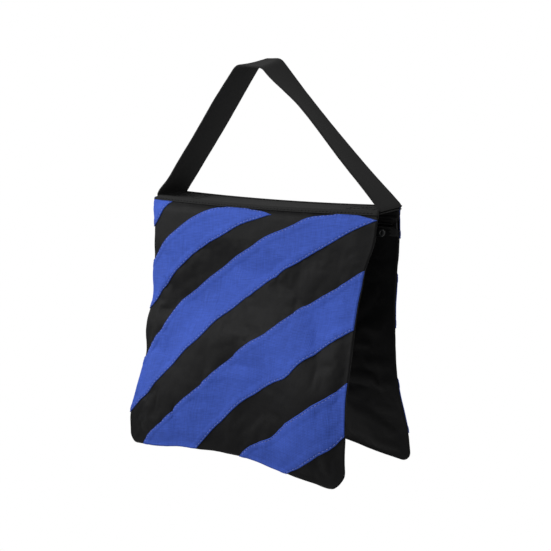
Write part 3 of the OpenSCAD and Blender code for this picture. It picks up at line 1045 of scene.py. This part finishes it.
class Zip(bpy.types.Operator):
    """Makes each pouch's zip: tapes, coils, end stops, slider and pull tab"""

    bl_idname = "sandbag.zips"
    bl_label = "Zips"

    def execute(self, context):
        for side in SIDES:
            bag = pouch(side)
            for row in ("upper", "lower"):
                self.make_tape(context, bag, row)
                self.make_coil(context, bag, row)
            self.make_stops(bag)
            self.make_slider(bag)
            self.make_pull(bag)
        return {"FINISHED"}

    def keep(self, bag, bm, name, material, slot, body, node, sheet=False):
        """Finishes a piece that was made in the pouch's own frame, and that stands for a node."""
        bmesh.ops.transform(bm, matrix=bag.matrix, verts=bm.verts[:])
        if sheet:
            face_outwards(bm, bag, inner=True)
        piece = finish_mesh(bm, f"{bag.side}_{name}", material, slot)
        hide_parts(f"{bag.side}_{node}")
        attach(piece, body)
        return piece

    def make_tape(self, context, bag, row):
        """One of the zip's two tapes, which shows in the slit beside its coil."""
        low, high = local_box(bag, "zip_tape_" + row)

        def place(x, y):
            u = (low.x + (high.x - low.x) * x) * TAPE_SHARE
            z = low.z + (high.z - low.z) * y
            level = high.y - 0.1 * MM + 0.06 * MM * np.sin(u / (2.5 * MM))
            return np.stack([u, level, z], 1), np.stack([u, z], 1)

        bm = cloth_grid(120, 8, place)
        node = "zip_tape_" + row
        piece = self.keep(bag, bm, node + "_cloth", "zip_tape", "zip_tape", bag.body, node, True)
        thicken(piece, context.scene.sandbag_zip.tape)

    def make_coil(self, context, bag, row):
        """A row of teeth: the turns of a nylon coil, each a small rounded bar."""
        node = "zip_teeth_" + row
        low, high = local_box(bag, node)
        pitch = context.scene.sandbag_zip.coil_pitch
        middle = (low + high) / 2
        shift, toward = (pitch / 2, -0.35 * MM) if row == "upper" else (0, 0.35 * MM)
        turns = np.arange(low.x + pitch, high.x - pitch, pitch) + shift
        centres = np.stack(np.broadcast_arrays(turns, middle.y, middle.z + toward), 1)
        size = (pitch * 0.36, (high.y - low.y) / 2, (high.z - low.z) / 2 + 0.3 * MM)
        axes = np.array(Matrix.Rotation(0.18, 3, "Y") @ Matrix.Diagonal(size)).T
        bm = bmesh.new()
        bmesh.ops.create_uvsphere(bm, u_segments=8, v_segments=5, radius=1.0)
        repeat_shape(bm, np.broadcast_to(axes, (len(turns), 3, 3)), centres)
        self.keep(bag, bm, node + "_coil", "zip_coil", "zip_teeth", bag.body, node)

    def make_stops(self, bag):
        """A metal staple across the coils at each end of the zip."""
        low, high = local_box(bag, "zip_stops")
        length = 2 * MM
        bm = bmesh.new()
        for x in (low.x, high.x - length):
            add_block(bm, (x, low.y, low.z), (x + length, high.y, high.z), 0.4 * MM, 3)
        self.keep(bag, bm, "zip_end_stops", "enamel", "zip_metal", bag.body, "zip_stops")

    def make_slider(self, bag):
        """The slider: cap and sole joined by a neck, with flanges and a bail for the pull."""
        low, high = local_box(bag, "zip_slider")
        middle = (low + high) / 2
        plate, neck, sink = 0.8 * MM, 0.4 * MM, 0.4 * MM
        cap_top = high.y - 2.6 * MM
        cap = cap_top - plate
        bm = bmesh.new()
        add_block(bm, (low.x, cap, low.z), (high.x, cap_top, high.z), 0.35 * MM, 3)
        add_block(bm, low, (high.x, low.y + plate, high.z), 0.3 * MM, 3)
        for z in (low.z, high.z - plate):
            flange = (low.x, 0.3 * MM, z), (high.x, cap_top - 0.1 * MM, z + plate)
            add_block(bm, *flange, 0.25 * MM)
        add_block(
            bm,
            (middle.x - 2 * MM, low.y + sink, middle.z - neck),
            (middle.x + 2 * MM, cap + sink, middle.z + neck),
        )
        self.add_bail(bm, middle, cap_top - 0.3 * MM, high.y)
        bmesh.ops.recalc_face_normals(bm, faces=bm.faces[:])
        self.keep(bag, bm, "slider", "enamel", "zip_metal", bag.side + "_slider", "zip_slider")

    def add_bail(self, bm, middle, foot, top):
        """A bar bent over the cap, from one foot to the other."""
        deep, wide, shoulder = 0.45 * MM, 0.85 * MM, top - 1.1 * MM
        arch = [(-3.0, foot), (-3.0, shoulder), (-2.3, top - deep)]
        arch += [(-x, y) for x, y in reversed(arch)]
        upright = Matrix.Rotation(math.pi / 2, 4, "X")
        rings = []
        for x, y in arch:
            level = y > shoulder
            turn = Matrix.Rotation(math.pi / 2 if level else 0.0, 4, "Z")
            size = Matrix.Diagonal((deep if level else 0.9 * deep, 1, wide, 1))
            place = Matrix.Translation((middle.x + x * MM, y, middle.z))
            rings.append(place @ turn @ size @ upright)
        verts = bmesh.ops.create_circle(
            bm, cap_ends=True, segments=8, radius=1.0, matrix=rings[0]
        )["verts"]
        edges = edges_at(verts)
        for before, after in zip(rings, rings[1:]):
            grown = bmesh.ops.extrude_edge_only(bm, edges=edges)["geom"]
            edges = [item for item in grown if isinstance(item, bmesh.types.BMEdge)]
            verts = [item for item in grown if isinstance(item, bmesh.types.BMVert)]
            bmesh.ops.transform(bm, matrix=after @ before.inverted(), verts=verts)
        bmesh.ops.contextual_create(bm, geom=edges)

    def make_pull(self, bag):
        """The pull tab: a flat plate with a hole, on two arms and a pin under the bail."""
        low, high = local_box(bag, "zip_pull")
        middle = (low + high) / 2
        half, pin = (high.z - low.z) / 2, (high.y - low.y) / 2
        start = low.x + pin + 4.6 * MM
        arm, cut, hole = 1.8 * MM, 2 * MM, 1.5 * MM
        bm = bmesh.new()
        lie = Matrix.Translation((low.x + pin, middle.y, middle.z))
        bmesh.ops.create_cone(
            bm, cap_ends=True, segments=16, radius1=pin, radius2=pin, depth=2 * half, matrix=lie
        )
        for z in (low.z, high.z - arm):
            add_block(
                bm,
                (low.x + 0.1 * MM, middle.y - pin * 0.9, z),
                (start + 0.5 * MM, middle.y + pin * 0.9, z + arm),
                0.3 * MM,
            )
        outline = [(start, half), (high.x - cut, half), (high.x, half - cut)]
        outline += [(x, -z) for x, z in reversed(outline)]
        corners = [bm.verts.new((x, high.y, middle.z + z)) for x, z in outline]
        edges = [bm.edges.new(pair) for pair in zip(corners, corners[1:] + corners[:1])]
        place = Matrix.Translation((high.x - 3.2 * MM, high.y, middle.z))
        place = place @ Matrix.Rotation(math.pi / 2, 4, "X")
        rim = bmesh.ops.create_circle(bm, segments=20, radius=hole, matrix=place)["verts"]
        edges += edges_at(rim)
        filled = bmesh.ops.triangle_fill(bm, use_beauty=True, edges=edges)["geom"]
        faces = [item for item in filled if isinstance(item, bmesh.types.BMFace)]
        grown = bmesh.ops.extrude_face_region(bm, geom=faces, use_keep_orig=True)["geom"]
        verts = [item for item in grown if isinstance(item, bmesh.types.BMVert)]
        bmesh.ops.translate(bm, verts=verts, vec=(0, -2 * pin, 0))
        for rib in range(4):
            x = start + (1.2 + 1.3 * rib) * MM
            add_block(
                bm,
                (x, high.y - 0.1 * MM, middle.z - half * 0.7),
                (x + 0.6 * MM, high.y + 0.2 * MM, middle.z + half * 0.7),
                0.12 * MM,
            )
        bmesh.ops.recalc_face_normals(bm, faces=bm.faces[:])
        piece = self.keep(bag, bm, "pull_tab", "enamel", "zip_metal", bag.side + "_pull", "zip_pull")
        round_edges(piece, 0.15 * MM)


class Liner(bpy.types.Operator):
    """Makes the sand liners inside the pouches, and the tapes that close them"""

    bl_idname = "sandbag.liners"
    bl_label = "Sand Liners"

    INSET = 5 * MM  # from the pouch's sides and bottom

    def execute(self, context):
        for side in SIDES:
            bag = pouch(side)
            top = -local_box(bag, "liner")[1].z
            bottom = -local_box(bag, "liner_hook_tape")[0].z
            ends = (top, bag.length - self.INSET)
            self.make_layer(bag, "liner", "liner_cloth", ("liner", "liner_cloth"), ends, 1.6 * MM, 0)
            for name, level in (("hook", 0.25 * MM), ("loop", -0.25 * MM)):
                node, ends = f"liner_{name}_tape", (top + MM, bottom)
                finish = ("closure", "closure_tape")
                self.make_layer(bag, node, node + "_pile", finish, ends, 0.45 * MM, level)
        return {"FINISHED"}

    def make_layer(self, bag, node, name, finish, ends, thickness, level):
        """A thin layer inside the pouch that follows its cloth."""
        top, bottom = ends

        def place(x, y):
            v = top + (bottom - top) * y
            over = np.clip(v - (bag.length - self.INSET - bag.corner), 0, bag.corner)
            half = bag.half(v) - self.INSET - (bag.corner - np.sqrt(bag.corner**2 - over**2))
            u = (2 * x - 1) * half
            middle, across, down = bag.sample(u, v)
            outward = unit(np.cross(down, across))
            return bag.in_place(middle + outward * (level + thickness / 2)), np.stack([u, v], 1)

        bm = cloth_grid(60, max(4, round((bottom - top) / (4 * MM))), place)
        face_outwards(bm, bag)
        piece = finish_mesh(bm, f"{bag.side}_{name}", *finish)
        thicken(piece, thickness)
        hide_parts(f"{bag.side}_{node}")
        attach(piece, bag.body)


# ---- Saddle and handle ----


def ridge_frame():
    """Middle of the ridge on its axis, half its length and half its width."""
    middle = Vector(JOINTS["handle_swing"]["pos_m"])
    low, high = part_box("strap_base")
    return middle, (high.x - low.x) / 2, (high.y - low.y) / 2


def between(front, back, side):
    """A value between a strip's two edges: side is -1 at the front and 1 at the back."""
    return front * (1 - side) / 2 + back * (1 + side) / 2


def walk(points, spacing):
    """Evenly spaced points along a path, with the distances walked."""
    walked = walked_along(np.array(points, float))
    wanted = np.linspace(0, walked[-1], max(2, round(walked[-1] / spacing)))
    return spread(points, walked, wanted), wanted


def arc(centre, radius, start, end, steps=10):
    """Points of an arc in X and Z, angles in radians."""
    return [
        (centre[0] + radius * math.cos(a), centre[1] + radius * math.sin(a))
        for a in np.linspace(start, end, steps)
    ]


# Shifts to the right, in millimetres, of the handle's two selvedges at heights above the
# saddle: the webbing is twisted a little between its feet
LEG_SHIFTS = {
    "left": {
        "front": [(0, -2.5), (6, -3.5), (15, -1), (34, 0.2), (62, 1.8), (99, 3.4), (118, 3), (130, 3)],
        "back": [(0, 2), (30, 3), (80, 5), (118, 6.5), (130, 6.5)],
    },
    "right": {
        "front": [(0, 0), (20, 1), (60, 2.5), (87, 2.8), (103, 1.4), (117, 0), (130, 0)],
        "back": [(0, -1), (25, -3.4), (45, -4.3), (72, -6.3), (95, -6), (118, -5.8), (130, -5.8)],
    },
}
# Lifts of the level top, in millimetres: left bend front and back, right bend front and back
LEVEL_LIFTS = ((-3.5, 1.5), (-4.5, 2.2))


class Handle(bpy.types.Operator):
    """Makes the webbing: along the saddle, up into the handle and down to its right foot"""

    bl_idname = "sandbag.handle"
    bl_label = "Handle"

    def execute(self, context):
        path, distances = walk(self.route(context), 1.6 * MM)
        self.make_webbing(context, path, distances)
        self.make_box_stitches(context)
        return {"FINISHED"}

    def route(self, context):
        """The webbing's middle line in X and Z, from the saddle's right end round to its foot."""
        sizes = context.scene.sandbag_webbing
        middle, half_l, _ = ridge_frame()
        thick = sizes.thickness
        fold = thick * 0.75
        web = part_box("strap_base")[0].z + thick / 2
        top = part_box("handle_strap")[1].z - thick / 2
        bend = sizes.bend + thick / 2
        half_top = sizes.top / 2
        left = middle.x - half_l + thick / 2 + fold
        right = middle.x + half_l - thick / 2
        lean_left = math.atan2(top - web - 2 * fold, -half_top - left)
        lean_right = math.atan2(top - web, right - half_top)
        turn_left = bend * math.tan(lean_left / 2) - half_top
        turn_right = half_top - bend * math.tan(lean_right / 2)
        up = math.pi / 2
        path = [(right - 1 * MM, web)]
        path += arc((left, web + fold), fold, -up, -math.pi - up + lean_left, 8)
        path += arc((turn_left, top - bend), bend, up + lean_left, up)
        path += arc((turn_right, top - bend), bend, up, up - lean_right)
        path += [(right + 0.6 * MM, web + 2.2 * MM), (right + 1.0 * MM, web + 0.2 * MM)]
        return path

    def hang(self, x, height, side):
        """How far the webbing leaves its level path, at one selvedge (-1 front, 1 back)."""
        moved = {}
        for leg, selvedges in LEG_SHIFTS.items():
            moved[leg] = between(*(through(selvedges[name], height / MM) for name in SIDES), side)
        half_top = bpy.context.scene.sandbag_webbing.top / 2
        right = ease((x + half_top) / (2 * half_top))
        shift = moved["left"] * (1 - right) + moved["right"] * right
        low_left, low_right = (between(*lifts, side) for lifts in LEVEL_LIFTS)
        lift = (low_left * (1 - right) + low_right * right) * ease((height - 85 * MM) / (37 * MM))
        return shift * MM, lift * MM

    def make_webbing(self, context, path, distances):
        """The webbing along its path, cupped and bowed a little where it stands free."""
        middle, _, half_w = ridge_frame()
        thick = context.scene.sandbag_webbing.thickness
        rises = np.gradient(path, axis=0)
        normals = unit(np.stack([-rises[:, 1], rises[:, 0]], 1))
        rows = 24

        def place(x, y):
            i = np.round(x * (len(path) - 1)).astype(int)
            side = 2 * y - 1
            along = distances[i]
            across = side * (half_w - 0.4 * MM)
            above = ease((path[i, 1] - middle.z - 12 * MM) / (40 * MM))
            bow = (0.9 * np.sin(along / (47 * MM)) + 0.5 * np.sin(along / (19 * MM) + 1)) * MM * above
            cup = 0.8 * MM * (side**2 - 0.4) * above
            rough = 0.12 * MM * rumple(along, across, 7 * MM, 1.3)
            lift = bow + cup + rough
            out = path[i] + normals[i] * lift[:, None]
            height = out[:, 1] - middle.z
            shift, rise = self.hang(out[:, 0], height, side)
            on_saddle = ease((4 * MM - height) / (3 * MM))
            out = out + np.stack([shift, rise + sag(out[:, 0] - middle.x) * on_saddle], 1)
            across = across + 0.5 * MM * above * np.sin(along / (60 * MM))
            return np.stack([out[:, 0], across, out[:, 1]], 1), np.stack([along, across], 1)

        bm = cloth_grid(len(path) - 1, rows, place)
        piece = finish_mesh(bm, "handle_webbing", "webbing", "webbing")
        thicken(piece, thick - 0.1 * MM, 0.0)
        round_edges(piece, 0.5 * MM, 60)
        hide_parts("handle_strap", "strap_base")
        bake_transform(piece)

    def make_box_stitches(self, context):
        """A box with a cross of stitches at each end of the saddle's webbing."""
        low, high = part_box("strap_box_stitches")
        length = 28 * MM
        lines = []
        for x in (low.x, high.x - length):
            a, b, c, d = (x, low.y), (x + length, low.y), (x + length, high.y), (x, high.y)
            lines += [np.array(ends) for ends in ((a, b), (b, c), (c, d), (d, a), (a, c), (b, d))]

        def place(x, y, lift):
            return np.stack([x, y, low.z + lift + sag(x - (low.x + high.x) / 2)], 1)

        piece = make_stitches("saddle_box_stitches", "black_thread", lines, place, 0.1 * MM)
        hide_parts("strap_box_stitches")
        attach(piece, "saddle")


class Saddle(bpy.types.Operator):
    """Makes the saddle's panel and the two bindings along its edges"""

    bl_idname = "sandbag.saddle"
    bl_label = "Saddle"

    OVERHANG = 1.2 * MM  # of the saddle's cloth under each binding

    def execute(self, context):
        self.make_panel(context)
        for side in SIDES:
            self.make_binding(context, pouch(side))
        return {"FINISHED"}

    def make_panel(self, context):
        """The saddle's cloth, which ends under the two bindings."""
        low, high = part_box("saddle_panel")
        long, wide = high.x - low.x, high.y - low.y + 2 * self.OVERHANG

        def place(x, y):
            u = low.x + long * x
            w = low.y - self.OVERHANG + wide * y
            z = (low.z + high.z) / 2 + 0.15 * MM * rumple(u, w, 12 * MM, 4.4)
            z = z + sag(u - (low.x + high.x) / 2)
            return np.stack([u, w, z], 1), np.stack([u, w], 1)

        bm = cloth_grid(160, 24, place)
        piece = finish_mesh(bm, "saddle_cloth", "nylon", "black_nylon")
        thicken(piece, high.z - low.z - 0.1 * MM, 0.0)
        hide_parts("saddle_panel")
        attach(piece, "saddle")

    def make_binding(self, context, bag):
        """A folded tape from the saddle's top over its edge and down the pouch's face."""
        cloth = context.scene.sandbag_cloth
        over = 3.2 * MM
        reach = cloth.binding
        total = over + 3 * MM + reach

        def place(x, y):
            u = (2 * x - 1) * (bag.half_top - 0.4 * MM)
            walked = y * total
            down = np.clip(walked - over - 2.2 * MM, 0.3 * MM, None)
            lift = 1.25 * MM + 0.12 * MM * rumple(u, walked, 8 * MM, 9.1)
            low_part = bag.points(u, down, lift)
            inward = np.clip(over - walked, 0, over)
            angle = np.clip((walked - over) / (3.4 * MM), 0, 1) * math.pi / 2
            radius = 2.0 * MM
            y_local = inward - radius * np.sin(angle)
            z_local = radius * np.cos(angle) + 0.1 * MM
            level = np.array(Matrix.Rotation(bag.flare, 3, "X"))
            high_part = bag.in_place(np.stack([u, y_local, z_local + sag(u)], 1) @ level.T)
            mix = ease((walked - over - 0.8 * MM) / (2.6 * MM))[:, None]
            return high_part * (1 - mix) + low_part * mix, np.stack([u, walked], 1)

        bm = cloth_grid(160, 26, place)
        name = bag.side + "_ridge_binding"
        bag.keep_cloth(bm, name + "_tape", name, "webbing", "black_nylon", 0.7 * MM)
        self.make_stitches(bag)

    def make_stitches(self, bag):
        """The row of stitches along a binding's lower edge."""
        half = bag.half_top - 4 * MM
        drop = bpy.context.scene.sandbag_cloth.binding - 0.7 * MM
        lines = [np.array([(-half, drop), (half, drop)])]
        name = bag.side + "_binding_stitches"
        bag.bends(make_stitches(name, "black_thread", lines, bag.points, 1.4 * MM))


class Stage(bpy.types.Operator):
    """Makes the camera, the soft lights and the floor"""

    bl_idname = "sandbag.stage"
    bl_label = "Stage"

    LENS, SENSOR = 73.7, 36.0  # millimetres
    CAMERA_PLACE = (0.5876, -0.8131, 0.1263)  # from the ridge's middle, in metres
    CAMERA_TURNS = (35.85, 10.9, -1.15)  # degrees to the left, down and rolled
    LIGHTS = {"key": (0.5, (-0.5, -0.46, 0.2)), "top": (0.6, (0.0, -0.3, 0.9))}  # size and place
    LIGHT_TARGET = (0, 0, -0.2)
    FLOOR_RADIUS = 2.0

    def execute(self, context):
        self.make_camera(context)
        self.make_lights(context)
        self.make_floor(context)
        return {"FINISHED"}

    def make_camera(self, context):
        """A camera to the right of the bag, a little above its ridge, looking down at it."""
        middle, _, _ = ridge_frame()
        data = bpy.data.cameras.new("camera")
        data.lens, data.sensor_width = self.LENS, self.SENSOR
        camera = add_object("camera", data)
        camera.location = middle + Vector(self.CAMERA_PLACE)
        turn, down, roll = (math.radians(a) for a in self.CAMERA_TURNS)
        look = Matrix.Rotation(turn, 3, "Z") @ Matrix.Rotation(math.pi / 2 - down, 3, "X")
        camera.rotation_euler = (look @ Matrix.Rotation(roll, 3, "Z")).to_euler()
        context.scene.camera = camera

    def make_lights(self, context):
        """Two soft lights, and light from all round in front of a white background."""
        stage = context.scene.sandbag_stage
        world = bpy.data.worlds.new("studio")
        world.use_nodes = True
        tree = world.node_tree
        seen = add_node(tree, "ShaderNodeLightPath").outputs["Is Camera Ray"]
        strength = add_node(tree, "ShaderNodeMapRange", {0: seen, 3: stage.ambient, 4: 1.0})
        background = tree.nodes["Background"]
        background.inputs["Color"].default_value = (1, 1, 1, 1)
        tree.links.new(strength.outputs[0], background.inputs["Strength"])
        context.scene.world = world
        context.scene.view_settings.view_transform = "Standard"
        for name, (size, place) in self.LIGHTS.items():
            data = bpy.data.lights.new(name, "AREA")
            data.energy, data.size = getattr(stage, name), size
            light = add_object(name, data)
            light.location = place
            ahead = Vector(self.LIGHT_TARGET) - Vector(place)
            light.rotation_euler = ahead.to_track_quat("-Z", "Y").to_euler()

    def make_floor(self, context):
        """A white disc far under the hanging bag."""
        white_floor("floor_paint")
        bm = bmesh.new()
        drop = context.scene.sandbag_stage.floor_drop
        place = Matrix.Translation((0, 0, -drop))
        size = {"segments": 96, "radius": self.FLOOR_RADIUS}
        bmesh.ops.create_circle(bm, cap_ends=True, **size, matrix=place)
        mesh = bpy.data.meshes.new("floor")
        bm.to_mesh(mesh)
        bm.free()
        mesh.materials.append(bpy.data.materials["floor_paint"])
        add_object("floor", mesh)


OPERATORS = (Stage, StripedPanel, InnerPanel, Zip, Liner, Saddle, Handle)


class SandbagPanel(bpy.types.Panel):
    """Lists the steps that build the sandbag"""

    bl_idname = "VIEW3D_PT_sandbag"
    bl_label = "Saddle Sandbag"
    bl_space_type = "VIEW_3D"
    bl_region_type = "UI"
    bl_category = "Sandbag"

    def draw(self, context):
        for operator in OPERATORS:
            self.layout.operator(operator.bl_idname)
        for name, group in GROUPS.items():
            box = self.layout.box()
            for key in group.__annotations__:
                box.prop(getattr(context.scene, name), key)


def register():
    for item in (*GROUPS.values(), *OPERATORS, SandbagPanel):
        bpy.utils.register_class(item)
    for name, group in GROUPS.items():
        setattr(bpy.types.Scene, name, bpy.props.PointerProperty(type=group))


def unregister():
    for name in GROUPS:
        delattr(bpy.types.Scene, name)
    for item in reversed((*GROUPS.values(), *OPERATORS, SandbagPanel)):
        bpy.utils.unregister_class(item)


def main():
    register()
    make_materials()
    for operator in OPERATORS:
        group, name = operator.bl_idname.split(".")
        getattr(getattr(bpy.ops, group), name)()


if __name__ == "__main__":
    main()
